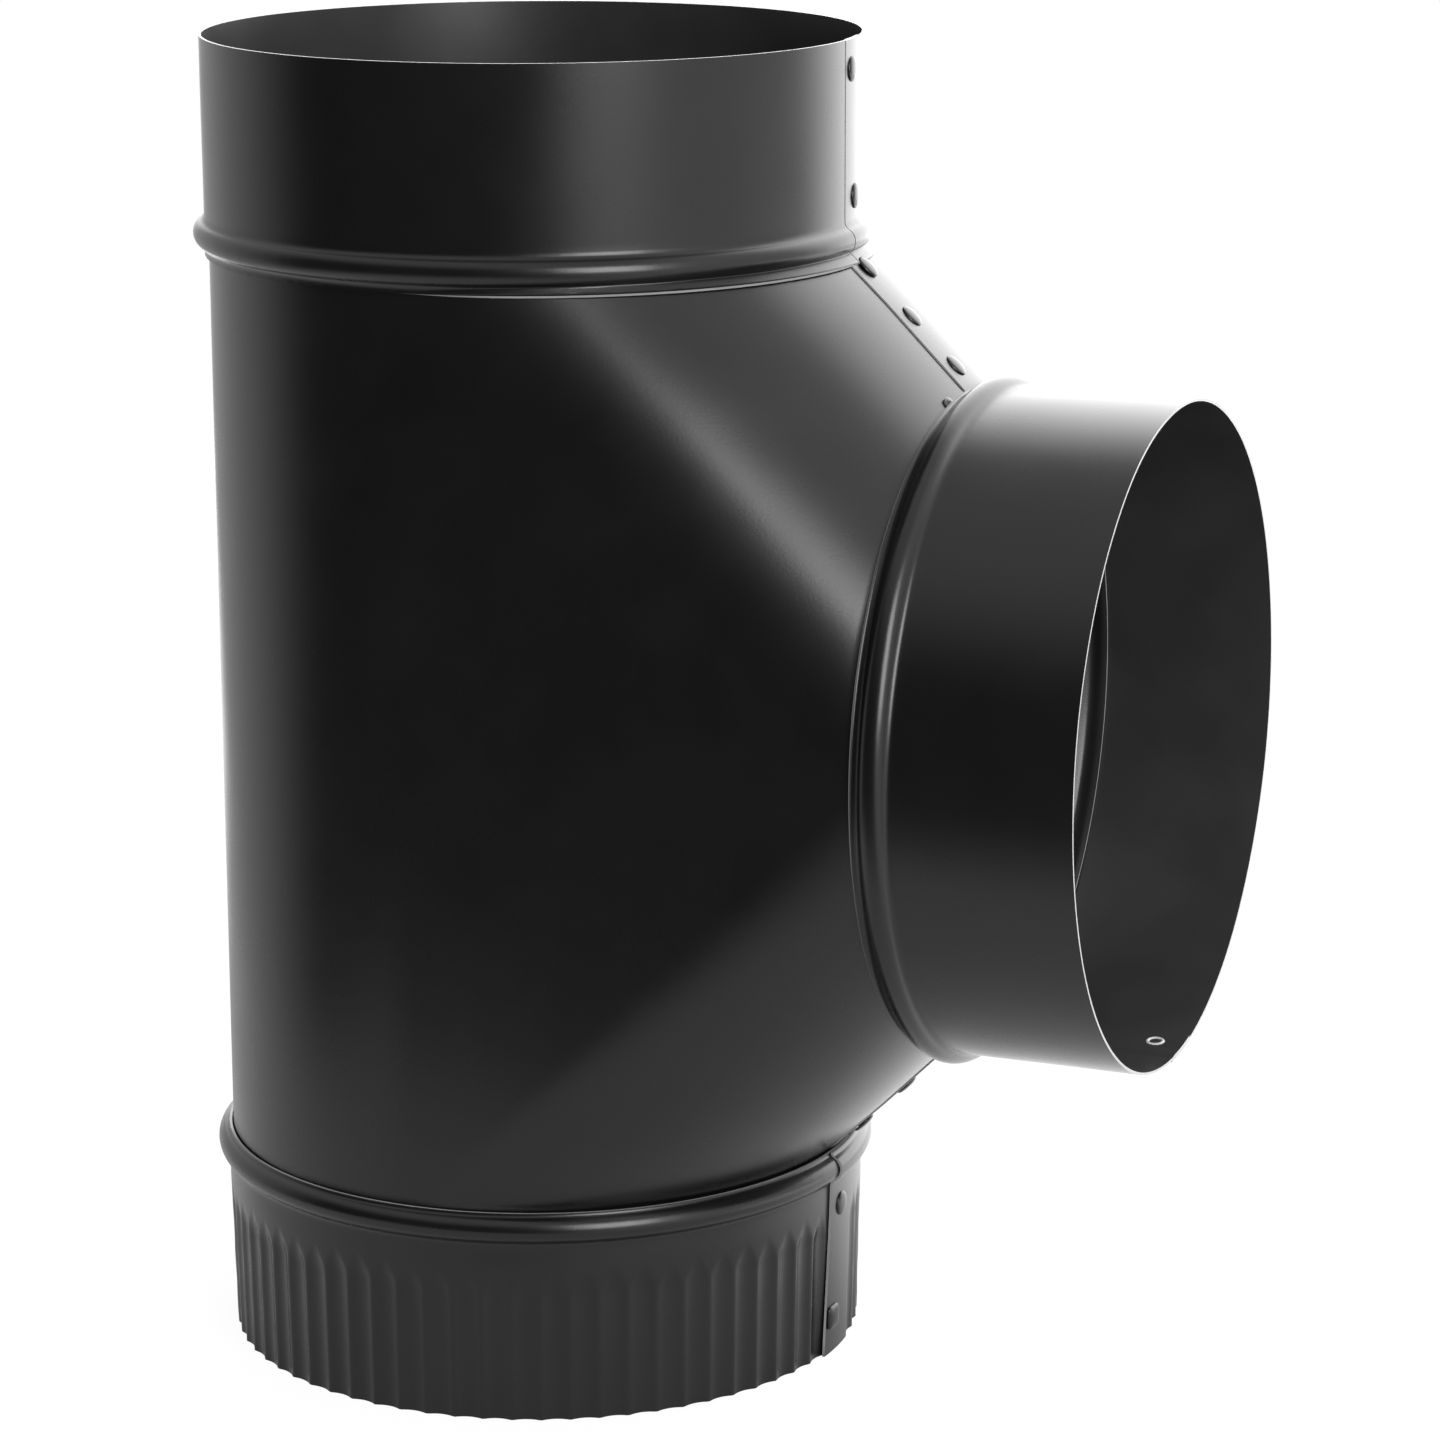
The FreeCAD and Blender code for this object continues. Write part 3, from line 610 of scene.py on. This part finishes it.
def body_mesh():
    """One skin of slopes, flat sides, back and necks, wound outwards and open along the seams."""
    points = []
    faces = []
    found = {}

    def index(point):
        key = tuple(round(value * POINTS_PER_METRE) for value in point)
        if key not in found:
            found[key] = len(points)
            points.append(point)
        return found[key]

    def add_rows(rows, flip):
        for upper, lower in zip(rows, rows[1:]):
            for left in range(len(upper) - 1):
                loop = []
                for corner in (upper[left], upper[left + 1], lower[left + 1], lower[left]):
                    number = index(corner)
                    if number not in loop:
                        loop.append(number)
                if len(loop) > 2:
                    faces.append(tuple(loop[::-1] if flip else loop))

    under = CROTCH_CUT + LAP_WIDTH / BODY_RADIUS
    for side in (1, -1):
        inner = steps(-math.pi / 2, under, ROUND_COLUMNS)
        outer = steps(CROTCH_CUT, math.pi / 2, ROUND_COLUMNS)
        add_rows(slope_sheet(side, inner, None), side > 0)
        add_rows(slope_sheet(side, outer, CROTCH_CUT), side > 0)
    add_rows(knob(), True)
    for y in (-BODY_RADIUS, BODY_RADIUS):
        add_rows(flat_side(y), y > 0)
    add_rows(round_back(), True)
    mesh = bpy.data.meshes.new("body_sheet")
    mesh.from_pydata(points, [], faces)
    return mesh


finish_sheet("body_sheet", body_mesh(), "body_shell")


# Rivets

def rivet(node, seat, outward, stack, corners=ROUND_CORNERS):
    """Low head with a round edge, shank and spread hollow end, turned about the outward direction."""
    section = []
    for lean in steps(0, math.pi / 2, HEAD_ROWS):
        section.append((HEAD_RADIUS * math.sin(lean), HEAD_RISE * math.cos(lean) ** HEAD_FLATNESS))
    section += [(HEAD_RADIUS, -HEAD_SINK), (SHANK_RADIUS, -HEAD_SINK), (SHANK_RADIUS, -stack)]
    middle = (TAIL_RADIUS + MOUTH_RADIUS) / 2
    section += arc_points((middle, -stack), (TAIL_RADIUS - MOUTH_RADIUS) / 2, 0, -180, TAIL_ROWS)
    section += [(0, -stack + TAIL_RISE / 2)]
    rows = []
    for angle in steps(0, 2 * math.pi, RIVET_COLUMNS)[:-1]:
        across, up = math.cos(angle), math.sin(angle)
        reach = (abs(across) ** corners + abs(up) ** corners) ** (-1 / corners)
        rows.append([Vector((across * r * reach, up * r * reach, h)) for r, h in section])
    mesh = grid_mesh(node + "_turned", rows + rows[:1])
    smoothed(mesh)
    # The spread end's underside takes the light grey: bare steel and a painted ring highlight in one.
    for polygon in mesh.polygons:
        polygon.material_index = int(polygon.center.z < -stack)
    mesh.materials.append(RIVET_PAINT)
    mesh.materials.append(BARE_STEEL_AND_HIGHLIGHT)
    mesh.transform(Matrix.Translation(seat) @ outward.to_track_quat("Z", "Y").to_matrix().to_4x4())
    piece = place(node + "_turned", mesh)
    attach(piece, "root")
    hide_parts(node)


def collar_rivet(node, centre, turn_to, cut, inset, along, lap, radius=COLLAR_RADIUS, corners=ROUND_CORNERS):
    """Rivet in a collar's lap, at a place along its axis from the bead's crest."""
    turn = inset / COLLAR_RADIUS
    angle = cut + turn
    outward = turn_to @ Vector((math.cos(angle), math.sin(angle), 0))
    rise = lap_rise(turn, radius, lap) + waviness(angle, along)
    seat = centre + outward * (radius + rise) + turn_to @ Vector((0, 0, along))
    rivet(node, seat, outward, rise + GAUGE, corners)


def crotch_rivet(node, side, number):
    """Rivet in the upper (side 1) or lower (side -1) crotch's seam."""
    drop = (CROTCH_START + number * CROTCH_PITCH) / math.sqrt(2)
    turn = CROTCH_INSET / BODY_RADIUS
    angle = CROTCH_CUT + turn
    rise = lap_rise(turn, BODY_RADIUS, CROTCH_LAP) * math.sqrt(2)
    radius = BODY_RADIUS + rise
    seat = Vector((radius * math.cos(angle) + drop, radius * math.sin(angle), side * (FOLD - drop)))
    seat.z += BRANCH_HEIGHT
    outward = Vector((math.cos(angle), math.sin(angle), side * math.cos(angle))).normalized()
    rivet(node, seat, outward, rise + GAUGE)


collar_rivet("top_rivet_upper", CENTRE_TOP, ALONG_RUN, TOP_CUT, TOP_UPPER_INSET, RIM_RIVET, TOP_LAP)
collar_rivet("top_rivet_lower", CENTRE_TOP, ALONG_RUN, TOP_CUT, TOP_LOWER_INSET, BEAD_RIVET, TOP_LAP)
collar_rivet("branch_rivet_outer", CENTRE_BRANCH, ALONG_BRANCH, BRANCH_CUT, BRANCH_INSET, RIM_RIVET,
             BRANCH_LAP)
collar_rivet("branch_rivet_inner", CENTRE_BRANCH, ALONG_BRANCH, BRANCH_CUT, BRANCH_INSET, BEAD_RIVET,
             BRANCH_LAP)
collar_rivet("bottom_rivet_upper", CENTRE_BOTTOM, ALONG_RUN, bottom_cut(HIGH_RIVET), BOTTOM_UPPER_INSET,
             HIGH_RIVET, BOTTOM_LAP)
collar_rivet("bottom_rivet_lower", CENTRE_BOTTOM, ALONG_RUN, bottom_cut(LOW_RIVET), BOTTOM_LOWER_INSET,
             LOW_RIVET, BOTTOM_LAP, LOW_RIVET_RADIUS, SQUARE_CORNERS)
for side, word in ((1, "upper"), (-1, "lower")):
    for number in range(CROTCH_RIVETS):
        crotch_rivet("%s_crotch_rivet_%d" % (word, number + 1), side, number)


# Floor, light and camera. Angles are in degrees unless they are turned into radians here.

CAMERA_TURN = math.radians(24.572)
CAMERA_DISTANCE = 1.10106
CAMERA_HEIGHT = 0.41571
CAMERA_YAW = math.radians(22.335)
CAMERA_PITCH = math.radians(-13.666)
CAMERA_ROLL = math.radians(-0.165)
FOCAL_PIXELS = 4726.63
PHOTO_PIXELS = 1440
SENSOR_WIDTH = 36
VIEW_END = 100
TO_CAMERA = Vector((math.sin(CAMERA_TURN), -math.cos(CAMERA_TURN), 0))
TO_RIGHT = Vector((-TO_CAMERA.y, TO_CAMERA.x, 0))
UP = Vector((0, 0, 1))
WHITE = (1, 1, 1, 1)

FLOOR_FRONT = 0.24
FLOOR_LEFT = 0.32
FLOOR_REACH = 1.2
FLOOR_GREY = (0.55, 0.55, 0.55, 1)
FLOOR_SEEN = 0.85
FLOOR_MIRRORED = 0.3
FLOOR_GLOW = 1.1
FAR_GLOW = 5.0
FAR_TURN = 130
FAR_START = 0.05
FAR_END = 0.22

# Light of the studio: how far a direction leans to it where it starts and where it is full, and its level
BACK_LIGHT = (-0.2, 0.5, 0.75)
RIGHT_LIGHT = (-0.15, 0.55, 1.1)
WINDOW_LIGHT = (0.5, 0.93, 4.0)
TOP_LIGHT = (0.35, 0.9, 0.8)
UNDER_LIGHT = (0.2, 0.8, 0.8)
FRONT_LEVEL = 0.08
WINDOW_TURN = 150
WINDOW_HEIGHT = 16


def direction_at(around, height):
    """Direction at a turn to the right of the camera's side and a height over the horizon, in degrees."""
    rise = math.radians(height)
    level = Matrix.Rotation(math.radians(around), 3, "Z") @ TO_CAMERA
    return level * math.cos(rise) + UP * math.sin(rise)


def floor_paint():
    """Pale and matt, but white where the camera sees it, and brighter far off where metal mirrors it."""
    material = bpy.data.materials.new("pale_floor")
    tree = empty_tree(material)

    def math_node(operation, *values):
        """Output of an arithmetic node over values and sockets."""
        return add(tree, "ShaderNodeMath", tuple(enumerate(values)), operation=operation).outputs[0]

    path = add(tree, "ShaderNodeLightPath").outputs
    spot = add(tree, "ShaderNodeTexCoord").outputs["Object"]
    way = direction_at(FAR_TURN, 0)
    away = add(tree, "ShaderNodeVectorMath", ((0, spot), (1, way)), operation="DOT_PRODUCT")
    bright = add(
        tree,
        "ShaderNodeMapRange",
        (
            ("Value", away.outputs["Value"]),
            ("From Min", FAR_START),
            ("From Max", FAR_END),
            ("To Max", FAR_GLOW),
        ),
    )
    strength = math_node("MULTIPLY_ADD", path["Is Glossy Ray"], bright.outputs["Result"], FLOOR_GLOW)
    matt = add(tree, "ShaderNodeBsdfDiffuse", (("Color", FLOOR_GREY),))
    glow = add(tree, "ShaderNodeEmission", (("Color", WHITE), ("Strength", strength)))
    seen = math_node("MULTIPLY", path["Is Camera Ray"], FLOOR_SEEN)
    mirrored = math_node("MULTIPLY", path["Is Glossy Ray"], FLOOR_MIRRORED)
    share = math_node("MAXIMUM", seen, mirrored)
    mix = add(tree, "ShaderNodeMixShader", ((0, share), (1, matt.outputs[0]), (2, glow.outputs[0])))
    add(tree, "ShaderNodeOutputMaterial", (("Surface", mix.outputs[0]),))
    return material


def floor():
    """Table with its front and left edges close to the object."""
    corners = []
    for across, near in (
        (-FLOOR_LEFT, FLOOR_FRONT),
        (FLOOR_REACH, FLOOR_FRONT),
        (FLOOR_REACH, -FLOOR_REACH),
        (-FLOOR_LEFT, -FLOOR_REACH),
    ):
        corners.append(TO_CAMERA * near + TO_RIGHT * across)
    mesh = bpy.data.meshes.new("floor")
    mesh.from_pydata(corners, [], [(0, 1, 2, 3)])
    piece = place("floor", mesh)
    mesh.materials.append(floor_paint())


def world():
    """Pale studio all round, dim at the side where the camera stands and brighter at its right."""
    scene_world = bpy.data.worlds.new("studio")
    bpy.context.scene.world = scene_world
    tree = empty_tree(scene_world)
    way = add(tree, "ShaderNodeTexCoord").outputs["Generated"]

    def ramp(direction, low, high, level):
        """level where way leans towards the direction by high or more, and 0 up to low."""
        lean = add(tree, "ShaderNodeVectorMath", ((0, way), (1, direction)), operation="DOT_PRODUCT")
        return add(
            tree,
            "ShaderNodeMapRange",
            (("Value", lean.outputs["Value"]), ("From Min", low), ("From Max", high), ("To Max", level)),
            interpolation_type="SMOOTHSTEP",
        ).outputs["Result"]

    def largest(first, second):
        return add(tree, "ShaderNodeMath", ((0, first), (1, second)), operation="MAXIMUM").outputs[0]

    level = ramp(-TO_CAMERA, *BACK_LIGHT)
    level = largest(level, ramp(TO_RIGHT, *RIGHT_LIGHT))
    level = largest(level, ramp(direction_at(WINDOW_TURN, WINDOW_HEIGHT), *WINDOW_LIGHT))
    level = largest(level, ramp(UP, *TOP_LIGHT))
    level = largest(level, ramp(-UP, *UNDER_LIGHT))
    level = largest(level, FRONT_LEVEL)
    path = add(tree, "ShaderNodeLightPath").outputs
    white = add(tree, "ShaderNodeBackground", (("Color", WHITE), ("Strength", 1.0)))
    soft = add(tree, "ShaderNodeBackground", (("Color", WHITE), ("Strength", level)))
    both = add(
        tree,
        "ShaderNodeMixShader",
        ((0, path["Is Camera Ray"]), (1, soft.outputs[0]), (2, white.outputs[0])),
    )
    add(tree, "ShaderNodeOutputWorld", (("Surface", both.outputs[0]),))


def softbox(name, around, height, distance, width, tall, level):
    """Area lamp aimed at the object's middle, as bright to look at as level."""
    data = bpy.data.lights.new(name, "AREA")
    data.shape = "RECTANGLE"
    data.size = width
    data.size_y = tall
    data.energy = level * math.pi * width * tall
    away = direction_at(around, height)
    turn = away.to_track_quat("Z", "Y").to_matrix().to_4x4()
    middle = UP * BRANCH_HEIGHT
    place(name, data).matrix_world = Matrix.Translation(middle + away * distance) @ turn


def camera():
    """Camera fitted to the photograph's rims and beads."""
    data = bpy.data.cameras.new("camera")
    data.sensor_width = SENSOR_WIDTH
    data.lens = FOCAL_PIXELS / PHOTO_PIXELS * SENSOR_WIDTH
    data.clip_end = VIEW_END
    level = Vector((-math.sin(CAMERA_YAW), math.cos(CAMERA_YAW), 0))
    forward = level * math.cos(CAMERA_PITCH) + UP * math.sin(CAMERA_PITCH)
    right = Vector((math.cos(CAMERA_YAW), math.sin(CAMERA_YAW), 0))
    above = right.cross(forward)
    rolled_right = right * math.cos(CAMERA_ROLL) + above * math.sin(CAMERA_ROLL)
    rolled_above = above * math.cos(CAMERA_ROLL) - right * math.sin(CAMERA_ROLL)
    turn = Matrix((rolled_right, rolled_above, -forward)).transposed()
    stand = TO_CAMERA * CAMERA_DISTANCE + UP * CAMERA_HEIGHT
    piece = place("camera", data)
    piece.matrix_world = Matrix.Translation(stand) @ turn.to_4x4()
    bpy.context.scene.camera = piece


floor()
world()
softbox("front_box", around=24, height=24, distance=1.5, width=0.65, tall=0.95, level=8.0)
camera()
bpy.context.scene.view_settings.view_transform = "Standard"
